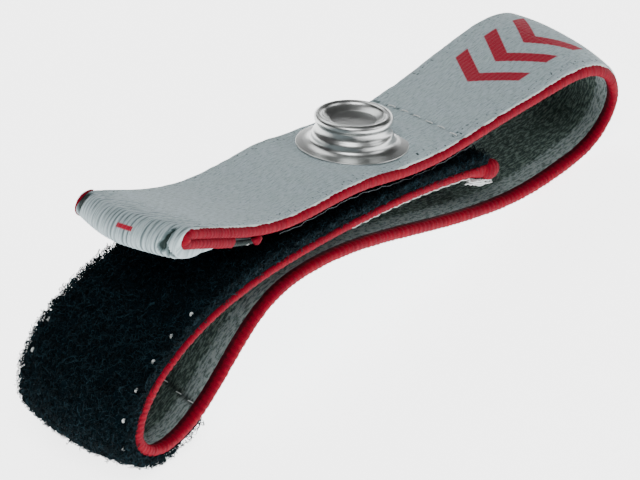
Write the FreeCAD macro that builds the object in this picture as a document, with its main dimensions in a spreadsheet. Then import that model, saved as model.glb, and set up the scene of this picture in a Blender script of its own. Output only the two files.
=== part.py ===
import FreeCAD, Part
import math
import os
from FreeCAD import Matrix, Placement, Vector
import Sketcher

# An elastic ESD wrist strap, laid on a table with its hook-and-loop closure pressed shut.
# One long knitted band is folded in a flattened spiral: a hemmed pull tab, the top flap with its
# snap stud, the right bend, the bottom layer, the left lobe and the inner tail under the flap.
# X runs along the strap, Y across it from the front edge to the back edge, Z is up.

SIZES = (
    # band
    ("band_width", 17.8),
    ("band_thick", 1.3),
    ("knit_thick", 0.5),
    ("core_thick", 0.36),
    ("selvedge_width", 1.2),
    ("ply_gap", 0.02),
    ("body_gap", 0.12),
    # hook-and-loop tapes
    ("tape_thick", 0.35),
    ("tape_inset", 0.1),
    ("pile_free", 1.5),
    ("pile_pressed", 0.8),
    ("hook_height", 0.6),
    # folded hems
    ("hem_gap", 0.15),
    ("tab_round", 15.2),
    # sewing
    ("thread_radius", 0.14),
    ("stitch_length", 1.5),
    ("stitch_pitch", 2.1),
    ("edge_row_pitch", 6.0),
    ("edge_row_inset", 0.8),
    ("row_reach", 7.0),
    # snap stud, from the flange up
    ("flange_radius", 7.15),
    ("metal_thick", 0.3),
    ("flange_rise", 0.45),
    ("collar_radius", 5.25),
    ("collar_height", 0.75),
    ("waist_radius", 4.7),
    ("waist_height", 2.1),
    ("neck_height", 3.1),
    ("rim_radius", 5.0),
    ("rim_low", 3.35),
    ("rim_high", 3.95),
    ("stud_height", 4.2),
    ("lip_radius", 4.65),
    ("mouth_radius", 4.15),
    ("bowl_height", 2.9),
    ("bowl_radius", 2.7),
    # rivet and washer, and the openings for them
    ("seat_depth", 0.1),
    ("bore_depth", 3.5),
    ("bore_length", 5.0),
    ("post_radius", 2.0),
    ("post_clearance", 0.15),
    ("post_top", 2.5),
    ("head_radius", 3.6),
    ("head_thick", 0.25),
    ("washer_radius", 4.6),
    ("washer_thick", 0.25),
    ("washer_gap", 0.05),
    ("metal_gap", 0.02),
    # the drawing's zero to the middle of the underside
    ("origin_x", -12.68),
    ("origin_z", 17.85),
)

# Half way through the band's thickness along its front edge: tab, flap, right bend, bottom
# layer, left lobe and inner tail. Each number along this list is a station.
FRONT_LINE = (
    (-25.9, 15.9), (-21.4, 13.5), (-11.2, 8.0), (-5.0, 5.8), (3.0, 4.5), (9.0, 3.3),
    (15.3, 1.25), (23.0, -0.6), (33.0, -1.5), (45.0, -2.6), (52.0, -3.7), (57.2, -6.9),
    (58.8, -11.5), (55.6, -15.6), (49.0, -16.9), (39.5, -16.2), (31.2, -14.1), (19.0, -9.7),
    (7.6, -5.6), (-1.0, -3.75), (-8.0, -4.0), (-13.1, -6.5), (-18.8, -11.2), (-24.4, -14.6),
    (-29.6, -14.9), (-33.3, -11.3), (-32.1, -6.6), (-27.0, -2.5), (-20.3, -0.2), (-11.6, 0.6),
    (0.7, -0.4), (12.0, -2.2), (22.5, -4.6), (33.7, -8.1),
)

# How far the back edge lies from the front edge, in X and Z, at a few stations: the middle of
# the strap leans back, and both bends stand square on the table.
LEAN = (
    (0, 0.4, -3.2), (4, 0.0, -3.0), (6, 0.0, -2.4), (8, 0.0, -3.6), (9, 0.3, -2.0),
    (10, 0.8, -1.0), (11, 1.6, -0.4), (12, 2.0, -0.1), (14, 1.6, 0.0), (16, 0.5, -0.6),
    (19, 0.0, -2.2), (22, 0.0, -0.6), (24, 0.0, 0.0), (26, -0.2, 0.3), (28, 0.0, -1.1),
    (30, 0.0, -2.8), (33, 0.0, -3.0),
)

# Stations where something starts, ends, turns or is sewn.
TAB_HINGE = 2.45
BEND_HINGE = 12.0
LOBE_HINGE = 25.3
TAIL_END = len(FRONT_LINE) - 1
TAB_HEM_END = 2.2
TAIL_HEM_END = TAIL_END - 0.2
HOOK_START = 2.75
HOOK_END = 7.95
LOOP_START = 22.7
LOOP_END = TAIL_END - 0.1
PRESSED_FROM = 27.8
PRESSED_TO = 30.4
STUD_STATION = 6.12
TAB_SEAM = TAB_HEM_END - 0.15
HOOK_SEAM = HOOK_END - 0.12
LOOP_SEAM = LOOP_START + 0.2
TAIL_SEAM = TAIL_END - 0.1
EDGE_ROW_START = 27.0
EDGE_ROW_END = LOOP_END - 0.95

# Curves through the band have this many spans a station, and directions along it are taken
# from two points this part of a station away on each side.
STEPS_PER_STATION = 3
TANGENT_STEP = 0.02
# Cutting blocks reach this far, in mm, past what they cut.
CUT_REACH = 20.0

doc = FreeCAD.newDocument("wrist_strap")
sheet = doc.addObject("Spreadsheet::Sheet", "sizes")
nodes = []


def fill_sheet():
    for row, (alias, value) in enumerate(SIZES, start=1):
        sheet.set("A%d" % row, alias)
        sheet.set("B%d" % row, str(value))
        sheet.setAlias("B%d" % row, alias)
    doc.recompute()


def size(alias):
    return float(sheet.get(alias))


fill_sheet()
HALF_WIDTH = size("band_width") / 2
HALF_THICK = size("band_thick") / 2
FACE_EDGE = HALF_WIDTH - size("selvedge_width")


def lean_at(station):
    for (low, x0, z0), (high, x1, z1) in zip(LEAN, LEAN[1:]):
        if station <= high:
            share = (station - low) / (high - low)
            return x0 + share * (x1 - x0), z0 + share * (z1 - z0)
    return LEAN[-1][1:]


def edge_curve(y, leaning):
    points = []
    for station, (x, z) in enumerate(FRONT_LINE):
        dx, dz = lean_at(station) if leaning else (0.0, 0.0)
        points.append(Vector(x + dx, y, z + dz))
    curve = Part.BSplineCurve()
    curve.interpolate(points)
    return curve


FRONT = edge_curve(-HALF_WIDTH, False)
BACK = edge_curve(HALF_WIDTH, True)


def on_edge(curve, station):
    # a point of an edge curve and the outward normal there, in the edge's own plane
    index = min(int(station), TAIL_END - 1)
    low, high = curve.getKnot(index + 1), curve.getKnot(index + 2)
    knot = low + (station - index) * (high - low)
    tangent = curve.tangent(knot)[0]
    return curve.value(knot), Vector(-tangent.z, 0, tangent.x).normalize()


def point(station, y, offset=0.0):
    # a point of the band: its station, its distance across and its distance out from the middle
    share = (y + HALF_WIDTH) / (2 * HALF_WIDTH)
    front, front_normal = on_edge(FRONT, station)
    back, back_normal = on_edge(BACK, station)
    normal = (front_normal * (1 - share) + back_normal * share).normalize()
    return front * (1 - share) + back * share + normal * offset


def frame(station, y=0.0, offset=0.0):
    # origin, direction along the band, direction across it and outward normal
    ahead = point(min(station + TANGENT_STEP, TAIL_END), y, offset)
    behind = point(max(station - TANGENT_STEP, 0), y, offset)
    along = (ahead - behind).normalize()
    across = (point(station, y + 1, offset) - point(station, y - 1, offset)).normalize()
    normal = along.cross(across).normalize()
    return point(station, y, offset), along, normal.cross(along).normalize(), normal


def shifted(station, distance):
    # the station that lies this many millimetres further along the band
    ahead, behind = point(station + TANGENT_STEP, 0), point(station - TANGENT_STEP, 0)
    return station + distance * 2 * TANGENT_STEP / (ahead - behind).Length


def stations_between(start, end):
    count = max(2, round((end - start) * STEPS_PER_STATION))
    return [start + (end - start) * i / count for i in range(count + 1)]


def smooth_edge(points):
    curve = Part.BSplineCurve()
    curve.interpolate(points)
    return curve.toShape()


def section(start, end, y, low, high):
    # closed outline of a layer in the plane at y; low and high are offsets or functions of station
    places = stations_between(start, end)
    outer = [point(s, y, high(s) if callable(high) else high) for s in places]
    inner = [point(s, y, low(s) if callable(low) else low) for s in places]
    edges = [
        smooth_edge(outer),
        Part.makeLine(outer[-1], inner[-1]),
        smooth_edge(inner[::-1]),
        Part.makeLine(inner[0], outer[0]),
    ]
    return Part.Wire(edges)


def layer(start, end, y_from, y_to, low, high):
    # one solid layer of the band between two stations, two edges and two offsets
    wires = [section(start, end, y, low, high) for y in (y_from, y_to)]
    return Part.makeLoft(wires, True, True)


def at_origin():
    return Placement(Vector(size("origin_x"), 0, size("origin_z")), FreeCAD.Rotation())


def keep(obj, label, placement=None):
    obj.Label = label
    obj.Placement = placement if placement else at_origin()
    nodes.append(obj)
    return obj


def shaped(label, shape, kept=True):
    obj = doc.addObject("Part::Feature", label)
    obj.Shape = shape
    obj.Label = label
    obj.Placement = at_origin()
    if kept:
        nodes.append(obj)
    return obj


# --- layers of the band ---------------------------------------------------------------------

def band_offsets():
    # inner and outer offset of each layer, from the lining inside to the knit outside
    gap = size("ply_gap")
    knit_in = HALF_THICK - size("knit_thick")
    core_in = knit_in - gap - size("core_thick")
    return {
        "outer_knit": (knit_in, HALF_THICK),
        "elastic_core": (core_in, knit_in - gap),
        "lining": (-HALF_THICK, core_in - gap),
    }


def hem_cutter():
    # a round prism that gives the pull tab its tongue-shaped end
    origin, along, across, normal = frame(0.0)
    radius = size("tab_round")
    centre = origin + along * radius
    low = centre - normal * CUT_REACH
    round_end = Part.makeCylinder(radius, 2 * CUT_REACH, low, normal)
    straight = Part.makeBox(2 * CUT_REACH, 2 * CUT_REACH, 2 * CUT_REACH)
    straight.Placement = axes_placement(low - across * CUT_REACH, along, normal)
    return round_end.fuse(straight)


def axes_placement(origin, along, normal):
    across = normal.cross(along)
    matrix = Matrix(
        along.x, across.x, normal.x, origin.x,
        along.y, across.y, normal.y, origin.y,
        along.z, across.z, normal.z, origin.z,
        0, 0, 0, 1,
    )
    return Placement(matrix)


def build_band(body, start, end, trim=None, open_for_stud=False):
    edge = FACE_EDGE - size("ply_gap")
    for name, (low, high) in band_offsets().items():
        label = "%s_%s" % (name, body)
        shape = layer(start, end, -edge, edge, low, high)
        if trim:
            shape = shape.common(trim)
        if open_for_stud:
            blank = shaped(label + "_blank", shape, kept=False)
            pierce(label, blank, stud_bore if name == "lining" else stud_seat)
        else:
            shaped(label, shape)
    for side, y_from, y_to in (("front", -HALF_WIDTH, -FACE_EDGE), ("back", FACE_EDGE, HALF_WIDTH)):
        shape = layer(start, end, y_from, y_to, -HALF_THICK, HALF_THICK)
        if trim:
            shape = shape.common(trim)
        shaped("selvedge_%s_%s" % (side, body), shape)


def pierce(label, blank, tool):
    cut = doc.addObject("Part::Cut", label)
    cut.Base = blank
    cut.Tool = tool
    cut.Label = label
    nodes.append(cut)
    return cut


# --- folded ends ----------------------------------------------------------------------------

def fold_ring_middle():
    return -(HALF_THICK + size("hem_gap") / 2)


def return_offsets():
    high = -HALF_THICK - size("hem_gap")
    return high - size("band_thick"), high


def half_ring(origin, outward, normal):
    # flat half ring that joins the band's end to its folded-under return
    middle = origin + normal * fold_ring_middle()
    outer = -fold_ring_middle() + HALF_THICK
    inner = size("hem_gap") / 2
    arcs = []
    for radius in (outer, inner):
        ends = (middle + normal * radius, middle + outward * radius, middle - normal * radius)
        arcs.append((Part.Arc(*ends).toShape(), ends))
    (outer_arc, outer_ends), (inner_arc, inner_ends) = arcs
    sides = [Part.makeLine(outer_ends[i], inner_ends[i]) for i in (0, 2)]
    return Part.Wire(Part.__sortEdges__([outer_arc, sides[1], inner_arc, sides[0]]))


# The fold is turned this many degrees past the band's edges, and then cut off flush with them.
EXTRA_TURN = 3


def tab_hem_fold():
    origin, along, _, normal = frame(0.0)
    radius = size("tab_round")
    face = Part.Face(half_ring(origin - along * size("ply_gap"), along * -1, normal))
    centre = origin + along * radius
    half_angle = math.degrees(math.asin(HALF_WIDTH / radius)) + EXTRA_TURN
    face.rotate(centre, normal, -half_angle)
    ring = face.revolve(centre, normal, 2 * half_angle)
    corner = Vector(origin.x - CUT_REACH, -HALF_WIDTH, origin.z - CUT_REACH)
    return ring.common(Part.makeBox(2 * CUT_REACH, 2 * HALF_WIDTH, 2 * CUT_REACH, corner))


def tail_hem_fold():
    wires = []
    for y in (-HALF_WIDTH, HALF_WIDTH):
        origin, along, _, _ = frame(TAIL_END, y)
        normal = on_edge(FRONT if y < 0 else BACK, TAIL_END)[1]
        outward = Vector(normal.z, 0, -normal.x)
        wires.append(half_ring(origin + outward * size("ply_gap"), outward, normal))
    return Part.makeLoft(wires, True, True)


def selvedge_pair(start, end, low, high):
    return [
        layer(start, end, -HALF_WIDTH, -FACE_EDGE, low, high),
        layer(start, end, FACE_EDGE, HALF_WIDTH, low, high),
    ]


# --- hook-and-loop tapes --------------------------------------------------------------------

def tape_edge():
    return FACE_EDGE - size("tape_inset")


def loop_backing_offsets():
    low = HALF_THICK + size("ply_gap")
    return low, low + size("tape_thick")


def pile_top(station):
    # the pile stands free round the lobe and is pressed flat where the hooks bear on it
    base = loop_backing_offsets()[1] + size("ply_gap")
    share = (station - PRESSED_FROM) / (PRESSED_TO - PRESSED_FROM)
    share = min(max(share, 0.0), 1.0)
    blend = share * share * (3 - 2 * share)
    return base + size("pile_free") + blend * (size("pile_pressed") - size("pile_free"))


def loop_solids(start, end):
    low, high = loop_backing_offsets()
    edge = tape_edge()
    backing = layer(start, end, -edge, edge, low, high)
    pile = layer(start, end, -edge, edge, high + size("ply_gap"), pile_top)
    return backing, pile


def hook_offsets():
    backing_high = -HALF_THICK - size("ply_gap")
    backing_low = backing_high - size("tape_thick")
    hooks_high = backing_low - size("ply_gap")
    return backing_low, backing_high, hooks_high - size("hook_height"), hooks_high


# --- stitches -------------------------------------------------------------------------------

def stitch(station, y, offset, lengthwise):
    origin, along, across, _ = frame(station, y, offset)
    direction = along if lengthwise else across
    start = origin - direction * (size("stitch_length") / 2)
    return Part.makeCylinder(size("thread_radius"), size("stitch_length"), start, direction)


def thread_clear():
    # how far the middle of a thread lies from the face that it is sewn on
    return size("thread_radius") + 2 * size("ply_gap")


def cross_row(station, offset):
    count = int(2 * size("row_reach") / size("stitch_pitch"))
    first = -(count - 1) * size("stitch_pitch") / 2
    places = [first + i * size("stitch_pitch") for i in range(count)]
    return Part.makeCompound([stitch(station, y, offset, False) for y in places])


def edge_row(start, end, y, offset):
    length = (point(start, y) - point(end, y)).Length
    count = int(length / size("edge_row_pitch"))
    places = [start + (end - start) * (i + 0.5) / count for i in range(count)]
    return [stitch(station, y, offset, True) for station in places]


# --- snap stud ------------------------------------------------------------------------------

def revolved_body(label, outline, placement):
    # outline: radius and height of each corner as sums of the sheet's sizes, None for zero
    body = doc.addObject("PartDesign::Body", label)
    plane = [f for f in body.Origin.OriginFeatures if f.Role == "XZ_Plane"][0]
    axis = [f for f in body.Origin.OriginFeatures if f.Role == "Z_Axis"][0]
    sketch = body.newObject("Sketcher::SketchObject", label + "_outline")
    sketch.AttachmentSupport = [(plane, "")]
    sketch.MapMode = "FlatFace"
    corners = [Vector(evaluate(r), evaluate(z), 0) for r, z in outline]
    for here, there in zip(corners, corners[1:] + corners[:1]):
        sketch.addGeometry(Part.LineSegment(here, there), False)
    count = len(corners)
    for i in range(count):
        sketch.addConstraint(Sketcher.Constraint("Coincident", i, 2, (i + 1) % count, 1))
    for i, (radius, height) in enumerate(outline):
        bind(sketch, "DistanceX", i, radius)
        bind(sketch, "DistanceY", i, height)
    doc.recompute()
    turned = body.newObject("PartDesign::Revolution", label + "_turned")
    turned.Profile = sketch
    turned.ReferenceAxis = (axis, [""])
    turned.Angle = 360
    doc.recompute()
    keep(body, label, placement)
    return body


def evaluate(expression):
    if expression is None:
        return 0.0
    return sum(float(sign + "1") * size(name) for sign, name in terms(expression))


def terms(expression):
    # "a + b - c" as (sign, alias) pairs
    words = ("+ " + expression).split()
    return list(zip(words[0::2], words[1::2]))


def in_sheet(expression):
    return " ".join("%s sizes.%s" % pair for pair in terms(expression)).lstrip("+ ")


HORIZONTAL_AXIS, VERTICAL_AXIS = -1, -2


def bind(sketch, kind, corner, expression):
    if expression is None:
        axis = HORIZONTAL_AXIS if kind == "DistanceY" else VERTICAL_AXIS
        sketch.addConstraint(Sketcher.Constraint("PointOnObject", corner, 1, axis))
        return
    value = evaluate(expression)
    index = sketch.addConstraint(Sketcher.Constraint(kind, -1, 1, corner, 1, value))
    sketch.setExpression("Constraints[%d]" % index, in_sheet(expression))


STUD_OUTLINE = (
    ("flange_radius", None),
    ("flange_radius", "metal_thick"),
    ("collar_radius + metal_thick", "flange_rise + metal_gap"),
    ("collar_radius", "collar_height"),
    ("waist_radius", "waist_height"),
    ("waist_radius", "neck_height"),
    ("rim_radius", "rim_low"),
    ("rim_radius", "rim_high"),
    ("lip_radius", "stud_height"),
    ("mouth_radius", "stud_height"),
    ("mouth_radius - metal_thick", "rim_high"),
    ("bowl_radius", "bowl_height"),
    (None, "bowl_height"),
    (None, "bowl_height - metal_thick"),
    ("bowl_radius + metal_thick", "bowl_height - metal_thick"),
    ("waist_radius - metal_thick", "neck_height"),
    ("waist_radius - metal_thick", "waist_height"),
    ("collar_radius - metal_thick", "collar_height"),
    ("collar_radius - metal_thick", None),
)


def stud_placement(drop):
    # drop: how far under the band's outer face the piece starts, as a sum of the sheet's sizes
    origin, along, _, normal = frame(STUD_STATION, 0.0, HALF_THICK)
    placement = axes_placement(origin - normal * evaluate(drop), along, normal)
    return at_origin().multiply(placement)


def cylinder_at_stud(label, radius, height, drop):
    cylinder = doc.addObject("Part::Cylinder", label)
    cylinder.setExpression("Radius", in_sheet(radius))
    cylinder.setExpression("Height", in_sheet(height))
    cylinder.Placement = stud_placement(drop)
    return cylinder


def fused(label, first, second):
    fuse = doc.addObject("Part::Fuse", label)
    fuse.Base = first
    fuse.Tool = second
    fuse.Label = label
    return fuse


STUD_FOOT = "seat_depth - metal_gap"
HOOK_FACE = "band_thick + tape_thick + ply_gap + ply_gap + washer_gap"
WASHER_FACE = HOOK_FACE + " + metal_gap + washer_thick"
HEAD_FACE = WASHER_FACE + " + metal_gap + head_thick"
BORE_RADIUS = "post_radius + post_clearance"

stud_bore = cylinder_at_stud("stud_bore", BORE_RADIUS, "bore_length", "bore_depth")
stud_seat = fused(
    "stud_seat",
    cylinder_at_stud("seat_bore", BORE_RADIUS, "bore_length", "bore_depth"),
    cylinder_at_stud("seat", "flange_radius + post_clearance", "bore_length", "seat_depth"),
)
washer_seat = fused(
    "washer_seat",
    cylinder_at_stud("washer_bore", BORE_RADIUS, "bore_length", "bore_depth"),
    cylinder_at_stud(
        "washer_recess", "washer_radius + post_clearance", "bore_length", HOOK_FACE + " + bore_length"),
)
hook_clearing = cylinder_at_stud(
    "hook_clearing", "washer_radius + metal_thick", "bore_length", "bore_length")


def build_snap():
    revolved_body("snap_stud", STUD_OUTLINE, stud_placement(STUD_FOOT))
    stem_height = HEAD_FACE + " - seat_depth + post_top"
    nodes.append(fused(
        "rivet_post",
        cylinder_at_stud("rivet_stem", "post_radius", stem_height, HEAD_FACE),
        cylinder_at_stud("rivet_head", "head_radius", "head_thick", HEAD_FACE),
    ))
    disc = cylinder_at_stud("washer_disc", "washer_radius", "washer_thick", WASHER_FACE)
    hole = cylinder_at_stud("washer_hole", "post_radius + metal_gap", "bore_length", "bore_depth")
    pierce("backing_washer", disc, hole)


# --- the whole strap ------------------------------------------------------------------------

def build_tab():
    cutter = hem_cutter()
    end = shifted(TAB_HINGE, -size("body_gap") / 2)
    build_band("tab", 0.0, end, trim=cutter)
    shaped("tab_hem_fold", tab_hem_fold())
    low, high = return_offsets()
    edge = FACE_EDGE - size("ply_gap")
    shaped("tab_hem_return", layer(0.0, TAB_HEM_END, -edge, edge, low, high).common(cutter))
    pair = [s.common(cutter) for s in selvedge_pair(0.0, TAB_HEM_END, low, high)]
    shaped("tab_hem_selvedges", Part.makeCompound(pair))
    shaped("tab_hem_stitches", cross_row(TAB_SEAM, low - thread_clear()))


def build_flap():
    start = shifted(TAB_HINGE, size("body_gap") / 2)
    end = shifted(BEND_HINGE, -size("body_gap") / 2)
    build_band("flap", start, end, open_for_stud=True)
    edge = tape_edge()
    backing_low, backing_high, hooks_low, hooks_high = hook_offsets()
    backing = layer(HOOK_START, HOOK_END, -edge, edge, backing_low, backing_high)
    pierce("hook_backing", shaped("hook_backing_blank", backing, kept=False), washer_seat)
    hooks = layer(HOOK_START, HOOK_END, -edge, edge, hooks_low, hooks_high)
    pierce("hook_field", shaped("hook_field_blank", hooks, kept=False), hook_clearing)
    shaped("hook_tape_stitches", cross_row(HOOK_SEAM, HALF_THICK + thread_clear()))
    build_snap()


def build_base():
    start = shifted(BEND_HINGE, size("body_gap") / 2)
    end = shifted(LOBE_HINGE, -size("body_gap") / 2)
    build_band("base", start, end)
    backing, pile = loop_solids(LOOP_START, end)
    shaped("loop_backing_base", backing)
    shaped("loop_pile_base", pile)
    shaped("loop_tape_stitches", cross_row(LOOP_SEAM, -HALF_THICK - thread_clear()))


def build_tail():
    start = shifted(LOBE_HINGE, size("body_gap") / 2)
    build_band("tail", start, TAIL_END)
    backing, pile = loop_solids(start, LOOP_END)
    shaped("loop_backing_tail", backing)
    shaped("loop_pile_tail", pile)
    side = FACE_EDGE - size("edge_row_inset")
    rows = []
    for y in (-side, side):
        rows += edge_row(EDGE_ROW_START, EDGE_ROW_END, y, -HALF_THICK - thread_clear())
    shaped("loop_edge_stitches", Part.makeCompound(rows))
    shaped("tail_hem_fold", tail_hem_fold())
    low, high = return_offsets()
    edge = FACE_EDGE - size("ply_gap")
    shaped("tail_hem_return", layer(TAIL_HEM_END, TAIL_END, -edge, edge, low, high))
    shaped("tail_hem_selvedges", Part.makeCompound(selvedge_pair(TAIL_HEM_END, TAIL_END, low, high)))
    shaped("tail_end_stitches", cross_row(TAIL_SEAM, low - thread_clear()))


def check_and_write():
    doc.recompute()
    for obj in doc.Objects:
        if {"Invalid", "Error"} & set(obj.State):
            raise RuntimeError("%s did not recompute: %s" % (obj.Label, obj.State))
    os.makedirs("parts", exist_ok=True)
    whole = FreeCAD.BoundBox()
    for obj in nodes:
        if obj.Shape.isNull() or not obj.Shape.isValid() or not obj.Shape.Solids:
            raise RuntimeError("%s has no valid solid" % obj.Label)
        whole.add(obj.Shape.optimalBoundingBox(False))
        obj.Shape.exportStep("parts/%s.step" % obj.Label)
    print("nodes", len(nodes), "box", whole)


def report_hinges():
    shift = at_origin().Base
    pile = loop_backing_offsets()[1] + size("ply_gap") + size("pile_free")
    hinges = (("tab_lift", TAB_HINGE, HALF_THICK), ("flap_peel", BEND_HINGE, HALF_THICK),
              ("tail_lift", LOBE_HINGE, pile))
    for name, station, offset in hinges:
        front = point(station, -HALF_WIDTH, offset) + shift
        back = point(station, HALF_WIDTH, offset) + shift
        print(name, "front", tuple(front), "axis", tuple((back - front).normalize()))
    placement = stud_placement(STUD_FOOT)
    normal = placement.Rotation.multVec(Vector(0, 0, 1))
    print("stud at", tuple(placement.Base), "axis", tuple(normal))


build_tab()
build_flap()
build_base()
build_tail()
check_and_write()
report_hinges()
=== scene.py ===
import math

import bmesh
import bpy
import numpy as np
from mathutils import Matrix, Vector


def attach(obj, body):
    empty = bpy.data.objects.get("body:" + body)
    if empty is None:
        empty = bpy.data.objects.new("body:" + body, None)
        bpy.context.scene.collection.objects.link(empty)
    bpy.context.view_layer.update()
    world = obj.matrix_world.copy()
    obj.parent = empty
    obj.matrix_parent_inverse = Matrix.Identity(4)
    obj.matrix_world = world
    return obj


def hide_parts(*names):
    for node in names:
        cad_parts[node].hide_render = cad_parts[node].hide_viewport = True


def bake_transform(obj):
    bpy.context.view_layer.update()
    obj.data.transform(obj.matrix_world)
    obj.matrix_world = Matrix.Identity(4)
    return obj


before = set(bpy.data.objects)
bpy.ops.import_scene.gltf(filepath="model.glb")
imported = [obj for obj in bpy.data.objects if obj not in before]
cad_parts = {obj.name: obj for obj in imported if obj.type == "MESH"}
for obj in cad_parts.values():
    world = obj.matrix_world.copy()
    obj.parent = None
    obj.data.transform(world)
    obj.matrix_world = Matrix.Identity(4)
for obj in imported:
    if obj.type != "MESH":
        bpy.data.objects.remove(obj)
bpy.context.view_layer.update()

# An elastic ESD wrist strap: one knitted band folded in a flattened spiral and lying on a table.
# Lengths are in millimetres, but in metres in BENDS, in Shader.place(), in the bodies of
# mesh_object() and weld(), and in the last section.
# The band is described by three numbers: the distance along it from the fold of its pull tab, the
# distance across it from its middle (front edge negative), and the distance out from the middle
# of its thickness (the knit face and the loop pile outward, the lining inward).

MM = 0.001

# --- sizes ---

BAND_WIDTH = 17.8
HALF_WIDTH = BAND_WIDTH / 2
HALF_THICK = 0.65
# How far out the knit's and the elastic core's inner sides lie, and how far the knit swells.
KNIT_INNER, CORE_INNER, KNIT_SWELL = 0.16, -0.22, 0.25
HEM_GAP = 0.15
FOLD_RADIUS = HALF_THICK + HEM_GAP / 2
FOLD_LENGTH = math.pi * FOLD_RADIUS
TAB_ROUND = 15.2
TAPE_THICK = 0.35
TAPE_EDGE = 7.6
PILE_EDGE = 8.75
PILE_FREE, PILE_PRESSED = 1.5, 0.8

# Half way through the thickness along the front edge: tab, flap, right bend, bottom layer, left
# lobe and inner tail. A station is a place along this list; ORIGIN moves it onto the CAD model.
FRONT_LINE = (
    (-25.9, 15.9), (-21.4, 13.5), (-11.2, 8.0), (-5.0, 5.8), (3.0, 4.5), (9.0, 3.3),
    (15.3, 1.25), (23.0, -0.6), (33.0, -1.5), (45.0, -2.6), (52.0, -3.7), (57.2, -6.9),
    (58.8, -11.5), (55.6, -15.6), (49.0, -16.9), (39.5, -16.2), (31.2, -14.1), (19.0, -9.7),
    (7.6, -5.6), (-1.0, -3.75), (-8.0, -4.0), (-13.1, -6.5), (-18.8, -11.2), (-24.4, -14.6),
    (-29.6, -14.9), (-33.3, -11.3), (-32.1, -6.6), (-27.0, -2.5), (-20.3, -0.2), (-11.6, 0.6),
    (0.7, -0.4), (12.0, -2.2), (22.5, -4.6), (33.7, -8.1),
)
# How far the back edge lies from the front edge, in x and z, at a few stations.
LEAN = (
    (0, 0.4, -3.2), (4, 0.0, -3.0), (6, 0.0, -2.4), (8, 0.0, -3.6), (9, 0.3, -2.0),
    (10, 0.8, -1.0), (11, 1.6, -0.4), (12, 2.0, -0.1), (14, 1.6, 0.0), (16, 0.5, -0.6),
    (19, 0.0, -2.2), (22, 0.0, -0.6), (24, 0.0, 0.0), (26, -0.2, 0.3), (28, 0.0, -1.1),
    (30, 0.0, -2.8), (33, 0.0, -3.0),
)
# How far the middle of the band stands out from the line between its two tight edges.
CROWN = (
    (0, 0.0), (2, 0.15), (5, 0.4), (8, 0.4), (10, 0.9), (12.5, 0.9), (14, 0.0), (22.8, 0.0),
    (23.6, 0.4), (24.4, 1.15), (25.2, 1.1), (26.3, 0.9), (27, 0.8), (28, 0.45), (33, 0.3),
)
ORIGIN = (-12.68, 17.85)
LAST_STATION = len(FRONT_LINE) - 1

# Stations where something starts, ends or turns.
TAB_HINGE = 2.45
TAB_HEM_END = 2.2
HOOK_START, HOOK_END = 2.75, 7.95
STUD_STATION = 6.12
LOOP_START, LOOP_END = 22.7, 32.9
TAIL_HEM_END = 32.8
PRESSED_FROM, PRESSED_TO = 27.8, 30.4


# --- the line of the band ---

def smooth(share):
    share = np.clip(share, 0.0, 1.0)
    return share * share * (3.0 - 2.0 * share)


class Edge:
    """One long edge of the band: a natural cubic curve through its points in the XZ plane."""

    def __init__(self, points):
        self.points = np.array(points, float)
        self.gaps = np.linalg.norm(np.diff(self.points, axis=0), axis=1)
        count = len(self.points)
        slopes = np.diff(self.points, axis=0) / self.gaps[:, None]
        matrix, right = np.eye(count), np.zeros((count, 2))
        for i in range(1, count - 1):
            before, after = self.gaps[i - 1], self.gaps[i]
            matrix[i, i - 1:i + 2] = before, 2 * (before + after), after
            right[i] = 6 * (slopes[i] - slopes[i - 1])
        self.bends = np.linalg.solve(matrix, right)

    def at(self, station):
        """Points and outward normals, as x and z, at an array of stations."""
        i = np.clip(station.astype(int), 0, len(self.gaps) - 1)
        u = (station - i)[:, None]
        v = 1 - u
        gap = self.gaps[i][:, None]
        here, there = self.points[i], self.points[i + 1]
        bend, next_bend = self.bends[i], self.bends[i + 1]
        place = v * here + u * there
        place += gap ** 2 / 6 * ((v ** 3 - v) * bend + (u ** 3 - u) * next_bend)
        slope = (there - here) / gap
        slope += gap / 6 * ((1 - 3 * v ** 2) * bend + (3 * u ** 2 - 1) * next_bend)
        normal = np.stack((-slope[:, 1], slope[:, 0]), axis=1)
        return place, normal / np.linalg.norm(normal, axis=1)[:, None]


def leaning_back():
    stations, *shifts = np.array(LEAN).T
    shifts = [np.interp(np.arange(len(FRONT_LINE)), stations, shift) for shift in shifts]
    return np.array(FRONT_LINE) + np.stack(shifts, axis=1)


FRONT, BACK = Edge(FRONT_LINE), Edge(leaning_back())


def on_band(station, across):
    """Points half way through the band, and outward normals, as x and z."""
    share = ((across + HALF_WIDTH) / BAND_WIDTH)[:, None]
    front, front_normal = FRONT.at(station)
    back, back_normal = BACK.at(station)
    normal = front_normal * (1 - share) + back_normal * share
    normal /= np.linalg.norm(normal, axis=1)[:, None]
    crown = np.interp(station, *np.array(CROWN).T) * (1 - (across / HALF_WIDTH) ** 2)
    place = front * (1 - share) + back * share + np.array(ORIGIN)
    return place + normal * crown[:, None], normal


def measure_line():
    stations = np.linspace(0, LAST_STATION, 40 * LAST_STATION + 1)
    middle, _ = on_band(stations, np.zeros(len(stations)))
    steps = np.linalg.norm(np.diff(middle, axis=0), axis=1)
    return stations, np.concatenate(([0.0], np.cumsum(steps)))


STATIONS, DISTANCES = measure_line()
LENGTH = DISTANCES[-1]


def distance_at(station):
    return float(np.interp(station, STATIONS, DISTANCES))


def tip_inset(across):
    """How far the round end of the tab falls short of a square end."""
    return TAB_ROUND - np.sqrt(TAB_ROUND ** 2 - across ** 2)


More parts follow.
